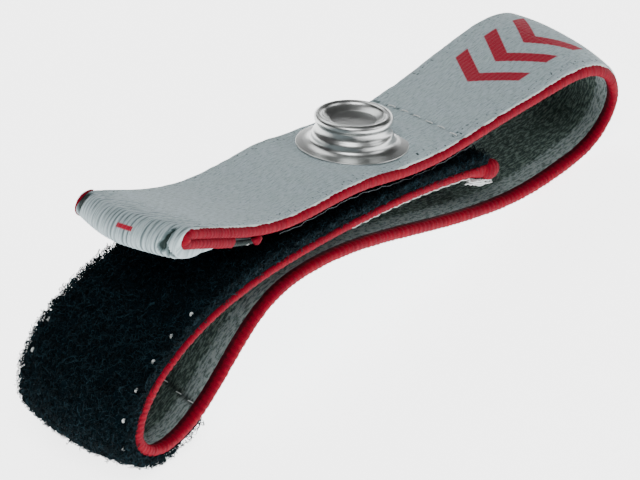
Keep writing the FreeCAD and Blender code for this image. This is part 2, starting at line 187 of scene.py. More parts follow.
def surface(distance, across, out):
    """Points of the band in millimetres. Beyond either end it folds under and runs back."""
    distance, across, out = np.broadcast_arrays(distance, across, out)
    shape = distance.shape
    distance, across, out = (a.ravel().astype(float) for a in (distance, across, out))
    at_tab = distance < 0
    beyond = np.maximum(np.maximum(-distance, distance - LENGTH), 0.0)
    turn = np.minimum(beyond / FOLD_RADIUS, math.pi)
    back_run = np.maximum(beyond - FOLD_LENGTH, 0.0)
    run = np.where(at_tab, back_run, np.minimum(distance, LENGTH) - back_run)
    run = run + tip_inset(across) * (1 - smooth(run / TAB_ROUND))
    middle, normal = on_band(np.interp(run, DISTANCES, STATIONS), across)
    tangent = np.stack((normal[:, 1], -normal[:, 0]), axis=1)
    outward = tangent * np.where(at_tab, -1.0, 1.0)[:, None]
    radius = FOLD_RADIUS + out
    offset = np.where(turn > 0, radius * np.cos(turn) - FOLD_RADIUS, out)
    place = middle + normal * offset[:, None] + outward * (radius * np.sin(turn))[:, None]
    return np.stack((place[:, 0], across, place[:, 1]), axis=1).reshape(shape + (3,))


def axes_at(distance, across=0.0, out=0.0):
    """A point of the band with its directions along, across and outward."""
    step = 0.05
    here = surface(distance, across, out)
    along = surface(distance + step, across, out) - surface(distance - step, across, out)
    sideways = surface(distance, across + step, out) - surface(distance, across - step, out)
    along = Vector(along).normalized()
    normal = along.cross(Vector(sideways)).normalized()
    return Vector(here), along, normal.cross(along), normal


def noise(first, second, cell, seed):
    """Smooth random values from -1 to 1 over a plane, with one knot a cell."""
    knots = 64
    table = np.random.default_rng(seed).uniform(-1, 1, (knots, knots))
    i, u = np.divmod(first / cell, 1.0)
    j, v = np.divmod(second / cell, 1.0)
    u, v = smooth(u), smooth(v)
    i, j = i.astype(int) % knots, j.astype(int) % knots
    i_next, j_next = (i + 1) % knots, (j + 1) % knots
    low = table[i, j] * (1 - u) + table[i_next, j] * u
    high = table[i, j_next] * (1 - u) + table[i_next, j_next] * u
    return low * (1 - v) + high * v


# --- segments: the pieces that the band is cut into where it rides or bends ---

# Stations where the right bend and the left lobe start and end.
BEND_AND_LOBE = (10.0, 14.3, 23.5, 27.3)
HEM_START = -FOLD_LENGTH - distance_at(TAB_HEM_END)
TAIL_STOP = LENGTH + FOLD_LENGTH + LENGTH - distance_at(TAIL_HEM_END)
CUTS = (HEM_START, *(distance_at(station) for station in BEND_AND_LOBE), TAIL_STOP)
SPANS = dict(zip(("tab", "bend", "base", "lobe", "tail"), zip(CUTS, CUTS[1:])))
TAB_BLEND = 5.0


def tab_blend_point(offset):
    return Vector(surface(distance_at(TAB_HINGE) + offset, 0.0, 0.0)) * MM


def level(height):
    return Vector((0, 0, height * MM))


# The two bodies of each segment that bends, and where its blend starts and ends.
BENDS = {
    "tab": ("pull_tab", "top_flap", tab_blend_point(-TAB_BLEND), tab_blend_point(TAB_BLEND)),
    "bend": ("bottom_band", "top_flap", level(2.0), level(13.4)),
    "lobe": ("bottom_band", "inner_tail", level(4.2), level(13.5)),
}
RIDES = {"base": "bottom_band", "tail": "inner_tail"}


def follow(piece, leader, nodes=()):
    """Attaches the piece to the body it rides on, or for a bending segment only bakes its
    transform; the CAD nodes that it stands for are hidden.
    """
    if leader in BENDS:
        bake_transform(piece)
    else:
        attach(piece, RIDES.get(leader, leader))
    if nodes:
        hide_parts(*nodes)


# --- mesh building ---

FLOOR_CLEAR = 0.02


def add_object(name, data):
    thing = bpy.data.objects.new(name, data)
    bpy.context.scene.collection.objects.link(thing)
    return thing


def mesh_object(name, points, faces, material, uv=None, shade=None):
    """A smooth mesh from millimetre points and arrays of faces, turned right side out."""
    points = points.reshape(-1, 3) * MM
    points[:, 2] = np.maximum(points[:, 2], FLOOR_CLEAR * MM)
    quads = faces[0]
    first, second, third = (points[quads[:, i]] for i in range(3))
    last = points[quads[:, -1]]
    volume = np.einsum("ij,ij->", first, np.cross(second, third) + np.cross(third, last))
    if volume < 0:
        faces = [f[:, ::-1] for f in faces]
    corners = np.concatenate([f.ravel() for f in faces]).astype(np.int32)
    totals = np.concatenate([np.full(len(f), f.shape[1]) for f in faces])
    starts = np.concatenate(([0], np.cumsum(totals)[:-1])).astype(np.int32)
    mesh = bpy.data.meshes.new(name)
    mesh.vertices.add(len(points))
    mesh.vertices.foreach_set("co", points.astype(np.float32).ravel())
    mesh.loops.add(len(corners))
    mesh.loops.foreach_set("vertex_index", corners)
    mesh.polygons.add(len(starts))
    mesh.polygons.foreach_set("loop_start", starts)
    mesh.update(calc_edges=True)
    mesh.validate()
    mesh.shade_smooth()
    if uv is not None:
        layer = mesh.uv_layers.new(name="band")
        layer.data.foreach_set("uv", uv.reshape(-1, 2)[corners].astype(np.float32).ravel())
    if shade is not None:
        attribute = mesh.attributes.new("shade", "FLOAT", "POINT")
        attribute.data.foreach_set("value", shade.astype(np.float32).ravel())
    mesh.materials.append(material)
    return add_object(name, mesh)


def weld(piece):
    """Joins the points that meet in one place."""
    mesh = bmesh.new()
    mesh.from_mesh(piece.data)
    bmesh.ops.remove_doubles(mesh, verts=mesh.verts, dist=1e-6)
    mesh.to_mesh(piece.data)
    mesh.free()
    return piece


def grid_faces(rows, columns, closed):
    """Quads between neighbouring rows; closed joins the last column to the first."""
    index = np.arange(rows * columns).reshape(rows, columns)
    if closed:
        index = np.concatenate((index, index[:, :1]), axis=1)
    quads = (index[:-1, :-1], index[:-1, 1:], index[1:, 1:], index[1:, :-1])
    return np.stack([q.ravel() for q in quads], axis=1)


def end_caps(rows, columns):
    """Quads that close both ends of a swept outline whose two halves have equal counts."""
    left = np.arange(columns // 2 - 1)
    right = columns - 1 - left
    cap = np.stack((left, right, right - 1, left + 1), axis=1)
    return np.concatenate((cap, cap[:, ::-1] + (rows - 1) * columns))


# Round the tab's fold, which turns sharply, the steps are this share of their usual length.
FINE_FROM, FINE_TO, FINE_SHARE = -FOLD_LENGTH - 1.0, 1.5, 0.4


def steps_along(span, step):
    """Distances along the band a step apart, and closer at the tab's fold."""
    fine = np.arange(FINE_FROM, FINE_TO, FINE_SHARE * step)
    fine = fine[(fine > span[0]) & (fine < span[1])]
    steps = np.linspace(span[0], span[1], max(2, math.ceil((span[1] - span[0]) / step)) + 1)
    if len(fine):
        steps = steps[(steps < fine[0]) | (steps > fine[-1])]
    return np.sort(np.concatenate((steps, fine)))


def sweep(name, span, step, outline, material):
    """A closed solid swept along the band. outline(distance) gives across, out and shade."""
    distance = steps_along(span, step)[:, None]
    rows = len(distance)
    distance, across, out, shade = np.broadcast_arrays(distance, *outline(distance))
    columns = across.shape[1]
    faces = np.concatenate((grid_faces(rows, columns, True), end_caps(rows, columns)))
    uv = np.stack((distance, across), axis=2)
    return mesh_object(name, surface(distance, across, out), [faces], material, uv, shade)


def slab_outline(half_width, low, high, columns, rim):
    """A flat closed outline with rounded sides: across and out from left to right and back.

    The sizes may be columns of numbers, one for each distance along the band."""
    across = half_width * np.linspace(-1, 1, columns)
    closeness = np.clip((np.abs(across) - (half_width - rim)) / rim, 0, 1)
    half = (high - low) / 2 * np.sqrt(np.maximum(1 - closeness ** 2, 0.02))
    middle = (high + low) / 2
    return (
        np.concatenate((across, across[..., ::-1]), axis=-1),
        np.concatenate((middle + half, (middle - half)[..., ::-1]), axis=-1),
    )


def one_path(along, across, out):
    """The path of a single thread, as tubes() takes it."""
    return np.stack((along, across, out), axis=1)[None]


def build_tape(name, span, half_width, low, high):
    """A flat woven tape with rounded sides."""
    across, out = slab_outline(half_width, low, high, 24, 0.15)
    return sweep(name, span, 0.8, lambda distance: (across, out, 1.0), TAPE)


def tubes(name, paths, *thread):
    """Round threads along many paths of band coordinates: an array of threads, points and 3."""
    return tubes_through(name, surface(*np.moveaxis(paths, -1, 0)), *thread)


# Threads' rings are turned from this direction, which none of them follows for long.
RING_HELPER = (0.31, 0.86, 0.41)


def tubes_through(name, places, radius, material, sides=3, taper=(1.0,), shade=None):
    """Round threads along many paths of points in space."""
    threads, length = places.shape[:2]
    heading = np.gradient(places, axis=1)
    heading /= np.linalg.norm(heading, axis=2)[..., None] + 1e-9
    sideways = np.cross(heading, np.array(RING_HELPER))
    sideways /= np.linalg.norm(sideways, axis=2)[..., None] + 1e-9
    upward = np.cross(heading, sideways)
    thickness = np.interp(np.linspace(0, 1, length), np.linspace(0, 1, len(taper)), taper)
    reach = (np.broadcast_to(radius, (threads,))[:, None] * thickness)[..., None, None]
    angle = 2 * math.pi * np.arange(sides) / sides
    ring = np.cos(angle)[:, None] * sideways[:, :, None]
    ring = ring + np.sin(angle)[:, None] * upward[:, :, None]
    points = places[:, :, None] + ring * reach
    quads = grid_faces(length, sides, True)
    first = np.arange(threads)[:, None, None] * length * sides
    near = np.arange(sides)[None, :]
    far = near[:, ::-1] + (length - 1) * sides
    ends = np.concatenate((near, far)) + first
    faces = [(quads + first).reshape(-1, 4), ends.reshape(-1, sides)]
    tint = None
    if shade is not None:
        tint = np.broadcast_to(shade[:, None, None], points.shape[:3])
    return mesh_object(name, points, faces, material, None, tint)


# --- materials ---

def linear(red, green, blue):
    """A colour given as it looks on screen, from 0 to 255, as the light it reflects."""
    parts = [part / 255 for part in (red, green, blue)]
    return tuple(p / 12.92 if p <= 0.04045 else ((p + 0.055) / 1.055) ** 2.4 for p in parts)


def add_node(tree, kind, *inputs, out=0, **settings):
    """A new node's output. Each input is a socket, a value, or None where it stays as it is."""
    node = tree.nodes.new(kind)
    for key, value in settings.items():
        setattr(node, key, value)
    for socket, value in zip(node.inputs, inputs):
        feed(socket, value)
    return node.outputs[out]


def feed(socket, value):
    if isinstance(value, bpy.types.NodeSocket):
        socket.id_data.links.new(value, socket)
    elif value is not None:
        socket.default_value = value


class Shader:
    """A Principled material and the nodes that feed it."""

    def __init__(self, name, roughness=0.8, metallic=0.0, sheen=0.0, specular=0.5):
        self.material = bpy.data.materials.new(name)
        self.material.use_nodes = True
        self.surface = self.material.node_tree.nodes["Principled BSDF"].inputs
        for socket, value in (("Roughness", roughness), ("Metallic", metallic),
                              ("Sheen Weight", sheen), ("Specular IOR Level", specular)):
            self.surface[socket].default_value = value

    def add(self, kind, *inputs, **settings):
        return add_node(self.material.node_tree, kind, *inputs, **settings)

    def math(self, operation, *values):
        return self.add("ShaderNodeMath", *values, operation=operation)

    def band(self):
        """Distance along and across the band in millimetres, and both as a vector."""
        vector = self.add("ShaderNodeUVMap", uv_map="band")
        apart = self.add("ShaderNodeSeparateXYZ", vector).node.outputs
        return apart[0], apart[1], vector

    def stretched(self, vector, scale, angle=0.0):
        return self.add("ShaderNodeMapping", vector, None, (0, 0, math.radians(angle)), scale)

    def place(self):
        """Where a point lies in the object itself, in metres."""
        return self.add("ShaderNodeTexCoord", out=3)

    def shade(self):
        return self.add("ShaderNodeAttribute", out=2, attribute_name="shade")

    def noise(self, vector, scale, detail=2.0, rough=0.5):
        return self.add("ShaderNodeTexNoise", vector, None, scale, detail, rough)

    def ramp(self, value, low, high, bottom=0.0, top=1.0):
        kind = "SMOOTHSTEP" if low < high else "LINEAR"
        limits = (value, low, high, bottom, top)
        return self.add("ShaderNodeMapRange", *limits, interpolation_type=kind)

    def mix(self, factor, first, second, read=linear):
        """Mixes two sockets or colours. read says how a colour's three numbers are taken."""
        colours = [colour if isinstance(colour, bpy.types.NodeSocket) else (*read(*colour), 1.0)
                   for colour in (first, second)]
        inputs = (factor, *[None] * 5, *colours)
        return self.add("ShaderNodeMix", *inputs, out=2, data_type="RGBA")

    def wave(self, value, pitch):
        """0 to 1 to 0 over each pitch."""
        turned = self.math("MULTIPLY", value, 2 * math.pi / pitch)
        return self.math("MULTIPLY_ADD", self.math("COSINE", turned), 0.5, 0.5)

    def finish(self, colour, height=None, depth=0.1, roughness=None):
        """depth is how deep, in millimetres, the bump is where height goes from 1 to 0."""
        feed(self.surface["Base Color"], colour)
        if height is not None:
            bump = self.add("ShaderNodeBump", 1.0, depth * MM, None, height)
            feed(self.surface["Normal"], bump)
        feed(self.surface["Roughness"], roughness)
        return self.material


# The woven motif on the flap: plain chevrons, and a short bar on the tab.
MOTIF_MIDDLE = distance_at(9.5)
MOTIF_COUNT, MOTIF_PITCH, MOTIF_STROKE = 3, 5.6, 2.4
MOTIF_REACH, MOTIF_SLOPE = 5.2, 0.75
BAR_MIDDLE, BAR_ACROSS = -1.15, -2.0
# How far from its middle the bar's colour starts and is full, along and across.
BAR_ENDS, BAR_SIDES = (0.13, 0.07), (1.2, 1.1)
WALE_PITCH = 0.62


def motif_mask(shader, along, across):
    """1 on the woven chevrons and the bar."""
    math, ramp = shader.math, shader.ramp
    spread = math("ABSOLUTE", across)
    point = math("SUBTRACT", along, MOTIF_MIDDLE - MOTIF_PITCH * MOTIF_COUNT / 2)
    point = math("SUBTRACT", point, math("MULTIPLY", spread, MOTIF_SLOPE))
    inside = math("MULTIPLY", math("GREATER_THAN", point, -MOTIF_PITCH / 2),
                  math("LESS_THAN", point, MOTIF_PITCH * (MOTIF_COUNT - 0.5)))
    near = math("PINGPONG", point, MOTIF_PITCH / 2)
    stroke = ramp(near, MOTIF_STROKE * 0.54, MOTIF_STROKE * 0.46)
    ends = ramp(spread, MOTIF_REACH + 0.1, MOTIF_REACH - 0.1)
    chevrons = math("MULTIPLY", math("MULTIPLY", stroke, ends), inside)
    bar_along = math("ABSOLUTE", math("SUBTRACT", along, BAR_MIDDLE))
    bar_across = math("ABSOLUTE", math("SUBTRACT", across, BAR_ACROSS))
    bar = math("MULTIPLY", ramp(bar_along, *BAR_ENDS), ramp(bar_across, *BAR_SIDES))
    return math("MAXIMUM", chevrons, bar)


def knit_material():
    shader = Shader("knit_face", roughness=0.85, sheen=0.1, specular=0.2)
    math, ramp, mix, noise = shader.math, shader.ramp, shader.mix, shader.noise
    along, across, vector = shader.band()
    wale = shader.wave(across, WALE_PITCH)
    diagonal = noise(shader.stretched(vector, (1.0, 6.5, 1.0), -41), 1.0, 2.0, 0.65)
    grain = noise(vector, 5.5, 2.0, 0.65)
    mottle = noise(vector, 0.3, 2.0)
    height = math("MULTIPLY_ADD", diagonal, 1.3, grain)
    height = math("MULTIPLY_ADD", wale, 0.25, height)
    light = mix(mottle, (170, 187, 188), (175, 189, 198))
    colour = mix(ramp(diagonal, 0.3, 0.6), (130, 148, 151), light)
    colour = mix(ramp(grain, 0.6, 0.72, 0.0, 0.5), colour, (194, 208, 210))
    # painted shade in the rib furrows and the seam's crease, with dark needle holes along the seam;
    # then painted shade in the hollows of the tab's fold, and the darkened frayed edge and tail end
    colour = mix(ramp(shader.shade(), 0.0, 1.0), (84, 100, 102), colour)
    colour = mix(ramp(shader.shade(), -0.2, -0.8), colour, (22, 38, 36))
    # the selvedges' needle marks, and the pale thread next to them
    spread = math("ABSOLUTE", across)
    edge = math("MULTIPLY", ramp(spread, 6.6, 7.4), ramp(spread, 8.5, 8.3))
    speck = ramp(noise(shader.stretched(vector, (2.0, 1.5, 1.0), -30), 1.0, 1.0), 0.63, 0.7)
    colour = mix(math("MULTIPLY", speck, edge), colour, (34, 56, 58))
    rim = math("MULTIPLY", ramp(spread, 8.42, 8.56, 0.0, 0.8), ramp(along, 0.5, 2.0))
    colour = mix(rim, colour, (206, 214, 210))
    red = mix(grain, (132, 0, 34), (172, 6, 44))
    colour = mix(motif_mask(shader, along, across), colour, red)
    return shader.finish(colour, height, 0.14)


def lining_material():
    """Dark in the middle, with ragged pale margins."""
    shader = Shader("conductive_lining", roughness=0.85, specular=0.2)
    ramp, mix, noise = shader.ramp, shader.mix, shader.noise
    _, across, vector = shader.band()
    strokes = noise(shader.stretched(vector, (1.0, 3.8, 1.0), -16), 1.0, 2.0, 0.7)
    grain = noise(vector, 5.0, 2.0, 0.7)
    patches = noise(vector, 1.3, 3.0, 0.6)
    edge = shader.math("MULTIPLY_ADD", patches, 2.0, shader.math("ABSOLUTE", across))
    margin = ramp(edge, 6.0, 6.6)
    dark = mix(ramp(strokes, 0.46, 0.6), (50, 66, 62), (112, 128, 121))
    dark = mix(ramp(grain, 0.6, 0.72), dark, (122, 138, 130))
    pale = mix(ramp(strokes, 0.38, 0.56), (84, 98, 97), (144, 156, 155))
    pale = mix(ramp(grain, 0.36, 0.3), pale, (36, 50, 50))
    colour = mix(margin, dark, pale)
    # Painted shade along the loop tape's seam, where the shade attribute is low.
    colour = mix(shader.shade(), (8, 14, 14), colour)
    return shader.finish(colour, shader.math("MULTIPLY_ADD", strokes, 1.4, grain), 0.2)


def selvedge_material():
    shader = Shader("selvedge", roughness=0.7, specular=0.08)
    ramp, mix = shader.ramp, shader.mix
    along, _, vector = shader.band()
    fibre = shader.noise(shader.stretched(vector, (9.0, 1.5, 1.0)), 1.0, 2.0)
    warm = shader.noise(vector, 0.5, 2.0)
    shade = shader.shade()
    bright = mix(warm, (118, 0, 30), (134, 0, 22))
    # Low shade: the dark red where the selvedge turns inward, and painted shade between the ribs.
    colour = mix(ramp(shade, 0.0, 0.55), (40, 0, 12), bright)
    # High shade: a painted highlight on the crests of the ribs.
    colour = mix(ramp(shade, 0.75, 1.0, 0.0, 0.5), colour, (160, 4, 26))
    colour = mix(ramp(fibre, 0.35, 0.65, 0.55, 0.0), colour, (66, 0, 16))
    # a little deeper on the tab
    colour = mix(ramp(along, 8.0, 24.0, 0.22, 0.0), colour, (70, 0, 14))
    return shader.finish(colour, fibre, 0.08)


def tape_material():
    shader = Shader("tape_backing", roughness=0.75, specular=0.3)
    along, across, _ = shader.band()
    weave = shader.math("MULTIPLY", shader.wave(along, 0.5), shader.wave(across, 0.42))
    return shader.finish(shader.mix(weave, (9, 14, 18), (40, 49, 55)), weave, 0.12)


def grained(name, dark, light, depth, stretch, scale, detail=2.0, rough=0.5, **surface):
    """Two colours mixed by fine noise, which is also the bump."""
    shader = Shader(name, **surface)
    place = shader.place()
    if stretch:
        place = shader.stretched(place, stretch)
    grain = shader.noise(place, scale, detail, rough)
    return shader.finish(shader.mix(grain, dark, light), grain, depth)


def tinted(name, dark, light, **surface):
    """Two colours mixed by the shade that each thread has."""
    shader = Shader(name, **surface)
    return shader.finish(shader.mix(shader.shade(), dark, light))


def metal_material():
    shader = Shader("snap_metal", roughness=0.16, metallic=1.0)
    scuff = shader.noise(shader.place(), 1400.0, 4.0, 0.7)
    colour = shader.mix(scuff, (176, 179, 179), (190, 192, 190))
    return shader.finish(colour, scuff, 0.0002, shader.ramp(scuff, 0.35, 0.75, 0.3, 0.36))


KNIT = knit_material()
LINING = lining_material()
SELVEDGE = selvedge_material()
PILE = grained("loop_pile", (0, 7, 11), (5, 20, 26), 0.3, None, 900.0, 3.0, 0.7,
               roughness=1.0, specular=0.05)
PILE_FIBRE = tinted("pile_fibre", (0, 8, 12), (26, 48, 56), roughness=0.8, specular=0.08)
TAPE = tape_material()
HOOK = tinted("hooks", (12, 17, 20), (46, 54, 58), roughness=0.4)
THREAD = grained("thread", (176, 182, 182), (232, 236, 234), 0.05, (3000.0, 3000.0, 9000.0), 1.0,
                 roughness=0.5, sheen=0.2)
# Painted highlight: the grey of the hook tape's lit front edge.
EDGE_HIGHLIGHT = grained("painted_edge_highlight", (28, 42, 48), (96, 110, 116), 0.05, None, 1500.0,
                      roughness=0.6)
METAL = metal_material()


# --- the band: knit face, elastic core, lining and selvedges ---

BAND_STEP, SELVEDGE_STEP = 0.27, 0.1
KNIT_EDGE, LINING_EDGE = HALF_WIDTH - 0.28, 7.64
RIB_PITCH = 0.86
# At the tail's end the front selvedge is rolled up into a ball.
BALL_END = LENGTH + 0.2
BALL_REACH = (1.9, 1.15, 1.35)
BALL_ACROSS, BALL_OUT = -8.35, -0.45
BALL_RIBS = 9


def hook_seam_at(across):
    """Distance along the band of the seam across the flap, which isn't quite square."""
    return distance_at(7.6) + 0.155 * across


def loop_seam_at(across):
    return distance_at(22.5) - 0.2 * (across + 5)


def knit_top(distance):
    """How far out the knit face stands: it swells above the tight edges, most at the tab's fold."""
    return HALF_THICK + KNIT_SWELL * (1 - smooth((distance - distance_at(13.2)) / 6.0))


STUD_DISTANCE = distance_at(STUD_STATION)
# The stiff flange flattens the cloth under it, so that it slopes less than the band there.
SEAT_SLOPE = 0.08
SEAT_RADIUS = 7.6


def seat_lift(distance, across):
    ahead = distance - STUD_DISTANCE
    from_stud = np.hypot(ahead, across)
    return SEAT_SLOPE * ahead * (1 - smooth((from_stud - SEAT_RADIUS) / 3.5))


# The open corners of the tab's fold, dented and painted dark as shade: distance along, distance
# across, length and width of each.
HOLLOWS = (
    (-0.75, -7.45, 0.3, 0.14), (-1.15, -7.38, 0.3, 0.26), (-1.5, -7.2, 0.22, 0.5),
    (-1.7, -7.9, 0.2, 0.14), (-2.0, -8.2, 0.3, 0.14), (-0.7, 7.2, 0.9, 0.6),
)
# Under the tab the folded-back selvedge is broken off, and its end stands apart as a tuft.
FRAY_GAP = (HEM_START + 1.5, HEM_START + 5.6)
FOLD_PUFF = 1.05


def fold_puff(distance, across):
    """The cloth of the tab's fold isn't pressed flat but hangs below the selvedges."""
    hanging = smooth((-distance - 0.3) / 1.6) * (1 - smooth((-distance - 3.5) / 6.0))
    return FOLD_PUFF * hanging * (1 - smooth((across + 1.5) / 10.0))


def dark_edge(distance, across):
    """Where the knit is darkened: at the frayed edge under the tab, where dark threads show, and at
    the end of the tail.
    """
    gap = (1 - smooth((distance - FRAY_GAP[1]) / 0.4)) * smooth((np.abs(across) - 6.4) / 0.6)
    return np.maximum(gap, smooth((distance - LENGTH + 1.6) / 0.6))


def hollow_at(distance, across):
    """1 in the middle of a hollow at the corners of the tab's fold, 0 away from them."""
    total = np.zeros(np.broadcast(distance, across).shape)
    for along, sideways, length, width in HOLLOWS:
        reach = ((distance - along) / length) ** 2 + ((across - sideways) / width) ** 2
        total = np.maximum(total, 1 - smooth((reach - 0.5) / 1.0))
    return total


def seam_dip(distance, line, width):
    """1 along a seam, 0 away from it."""
    return np.exp(-((distance - line) / width) ** 2)


def knit_outline(distance):
    """Narrower under the loop tape and at the hem's end, ribbed, and drawn in at the seam."""
    columns = 110
    half_width = KNIT_EDGE - 0.25 * smooth((distance - distance_at(LOOP_START)) / 2.0)
    half_width = half_width - 0.8 * smooth((-distance - 9.0) / 2.5)
    half_width = half_width + 0.07 * noise(distance, 0 * distance, 1.1, 13)
    across, out = slab_outline(half_width, KNIT_INNER, knit_top(distance), columns, 0.45)
    outer = np.arange(2 * columns) < columns
    crisp = 0.3 + 0.7 * (1 - smooth((np.abs(distance + 1) - 1.5) / 8.0))
    wobble = 0.22 * noise(distance, across, 1.3, 11) * crisp
    wale = 0.5 + 0.5 * np.cos(2 * math.pi * (across / WALE_PITCH + wobble))
    swell = 0.05 * noise(distance, across, 5.0, 12)
    seam = seam_dip(distance, hook_seam_at(across), 0.5)
    hollow = hollow_at(distance, across)
    relief = 0.1 * crisp * (wale - 1) + swell - 0.16 * seam - 0.4 * hollow
    relief = relief + seat_lift(distance, across) + fold_puff(distance, across)
    holes = np.maximum(noise(distance, across, 0.5, 14), 0)
    # The shade paints shade into the furrows between the ribs, the seam's crease and the hollows of
    # the fold; needle holes along the seam are dark.
    furrow_shade = crisp * (1 - wale) ** 2 * (0.75 + 0.5 * noise(distance, across, 0.7, 15))
    shade = 1 - furrow_shade - 0.2 * seam - 1.2 * seam ** 4 * holes
    shade = np.where(outer, shade * (1 - hollow) - hollow, 1.0) - 2 * dark_edge(distance, across)
    return across, out + np.where(outer, relief, 0.0), shade


def core_outline(distance):
    """A row of elastic threads side by side."""
    columns, threads = 64, 16
    across, out = slab_outline(LINING_EDGE, CORE_INNER + 0.02, KNIT_INNER - 0.02, columns, 0.2)
    middle = (CORE_INNER + KNIT_INNER) / 2
    thread = 0.7 + 0.3 * np.abs(np.sin(math.pi * threads * across / (2 * LINING_EDGE)))
    return across, middle + (out - middle) * thread, 1.0


def lining_outline(distance):
    """Twill on its inner side, drawn in at the loop tape's seam."""
    columns = 72
    across, out = slab_outline(LINING_EDGE, -HALF_THICK, CORE_INNER, columns, 0.2)
    inner = np.arange(2 * columns) >= columns
    rows = np.cos(2 * math.pi * (across / 0.56 + distance / 2.4))
    seam = seam_dip(distance, loop_seam_at(across), 0.45)
    relief = 0.035 * rows + 0.05 * noise(distance, across, 0.9, 21) - 0.22 * seam
    # Painted shade along the groove of the loop tape's seam.
    shade = np.where(inner, 1 - 0.75 * seam, 1.0)
    return across, out - np.where(inner, relief, 0.0), shade


# The selvedge in section: how far in from the edge and how far out from the middle each corner
# lies, how much the ribs swell there, and how much of its red is left where it turns inward.
SELVEDGE_SECTION = (
    (1.00, 0.30, 0.0, 1.0), (0.72, 0.56, 0.5, 1.0), (0.36, 0.64, 0.9, 1.0), (0.06, 0.52, 1.0, 1.0),
    (-0.12, 0.24, 1.0, 1.0), (-0.18, -0.08, 1.0, 1.0), (-0.16, -0.36, 1.0, 0.95),
    (-0.02, -0.62, 1.0, 0.9), (0.26, -0.80, 1.0, 0.8), (0.56, -0.80, 0.9, 0.6),
    (0.86, -0.73, 0.8, 0.22), (1.20, -0.68, 0.6, 0.12), (1.44, -0.60, 0.3, 0.1),
    (1.44, -0.40, 0.0, 0.5), (1.34, -0.20, 0.0, 0.5), (1.20, 0.05, 0.0, 0.8),
)


def selvedge_outline(side):
    """The outline of the front (-1) or back (1) selvedge, with its ribs of wound thread."""
    inward, out, swell, red = np.array(SELVEDGE_SECTION).T
    if side > 0:
        out = np.minimum(out, 0.3)
    centre_in, centre_out = 0.45, -0.12
    spread_in, spread_out = inward - centre_in, out - centre_out
    reach = np.hypot(spread_in, spread_out)

    def outline(distance):
        under_tape = smooth((distance - distance_at(HOOK_START)) / 0.5)
        under_tape *= 1 - smooth((distance - distance_at(HOOK_END)) / 0.5)
        slim = 1 - 0.2 * smooth((distance - distance_at(PRESSED_FROM) + 12) / 8)
        rolled = smooth((distance - LENGTH + 5.0) / 3.5) if side < 0 else 0 * distance
        slim = slim * (1 + 0.6 * rolled)
        phase = distance / RIB_PITCH + 0.42 * spread_out - side * 0.2 * spread_in
        phase = phase + 0.3 * noise(distance, 0 * distance, 2.3, 31)
        rib = np.floor(phase).astype(int)
        lift = np.random.default_rng(32 + side).uniform(0.45, 1.0, 1024)[rib % 1024]
        bulge = np.abs(np.sin(math.pi * phase)) ** 0.7
        depth = 0.08 + 0.04 * smooth((distance - distance_at(12)) / 15)
        growth = 1 + swell * (depth * bulge * lift - 0.04) / np.maximum(reach, 0.3)
        growth = growth * ends_of_thread(distance)
        narrow = np.where(inward > 0.7, 1 - 0.32 * under_tape - 0.3 * rolled, 1.0)
        across = HALF_WIDTH - centre_in - spread_in * growth * narrow
        fleck = 0.5 + 0.5 * noise(distance, 3 * spread_out + spread_in, 0.3, 33)
        # Rib crests lighter and grooves darker: painted shade between the ribs; red, where the
        # selvedge turns inward, and the flecks are the thread's own colour.
        shade = red * (0.36 + 0.44 * bulge * lift + 0.2 * fleck)
        return side * across, centre_out - 0.3 * rolled + spread_out * growth * slim, shade

    return outline


def ends_of_thread(distance):
    """How thick the selvedge is beside its loose ends, as a share: they are all rounded."""
    tuft = np.minimum(distance - HEM_START, FRAY_GAP[0] - distance)
    broken = np.where(distance < FRAY_GAP[0] + 0.1, tuft, distance - FRAY_GAP[1])
    return 0.35 + 0.65 * smooth(broken / 0.8 + 0.1)


# How the names of each segment's CAD nodes end. The lobe stands for no node of its own.
NODE_ENDS = {
    "tab": ("_tab",), "bend": ("_flap",), "base": ("_base",), "lobe": (), "tail": ("_tail",),
}
LAYERS = (
    ("knit", knit_outline, BAND_STEP, KNIT, "knit_face", "outer_knit"),
    ("core", core_outline, 1.0, HOOK, "elastic", "elastic_core"),
    ("lining", lining_outline, BAND_STEP, LINING, "conductive_lining", "lining"),
)


def build_band():
    for segment, span in SPANS.items():
        for name, outline, step, material, slot, node in LAYERS:
            piece = sweep("band_%s_%s" % (name, segment), span, step, outline, material)
            follow(piece, segment, [node + end for end in NODE_ENDS[segment]])
        for side_name, side in (("front", -1), ("back", 1)):
            build_selvedge(segment, span, side_name, side)


def build_corner_thread():
    """A loose red thread that shows at the back corner of the tab's fold."""
    along = np.linspace(-2.1, 0.9, 30)
    across = 7.95 + 0.2 * np.sin(along * 3.0)
    path = one_path(along, across, knit_top(along) - 0.05)
    piece = tubes("tab_corner_thread", path, 0.16, SELVEDGE, 6, (1.0,), np.array([0.8]))
    follow(piece, "tab")


def build_selvedge(segment, span, side_name, side):
    outline = selvedge_outline(side)
    if segment == "tab":
        loose = (HEM_START, FRAY_GAP[0])
        tuft = sweep("tab_hem_" + side_name, loose, SELVEDGE_STEP, outline, SELVEDGE)
        follow(tuft, segment, ("tab_hem_selvedges",))
        span = (FRAY_GAP[1], span[1])
    if segment == "tail" and side < 0:
        span = (span[0], BALL_END)
    name = "selvedge_" + side_name
    piece = sweep("band_%s_%s" % (name, segment), span, SELVEDGE_STEP, outline, SELVEDGE)
    nodes = [name + end for end in NODE_ENDS[segment]]
    if segment == "tail" and side > 0:
        nodes.append("tail_hem_selvedges")
    follow(piece, segment, nodes)


def in_axes(centre, axes, parts):
    """Points given by how far they lie from a centre in each of three directions."""
    moves = (part[..., None] * np.array(axis) for part, axis in zip(parts, axes))
    return np.array(centre) + sum(moves)


def at_tail_end(*parts):
    """Points along, across and out from the middle of the ball at the tail's end."""
    centre, *axes = axes_at(LENGTH - 0.3, BALL_ACROSS, BALL_OUT)
    return in_axes(centre, axes, parts)


def circle(sides):
    """Angles round a full turn, as one row."""
    return 2 * math.pi * np.arange(sides)[None, :] / sides


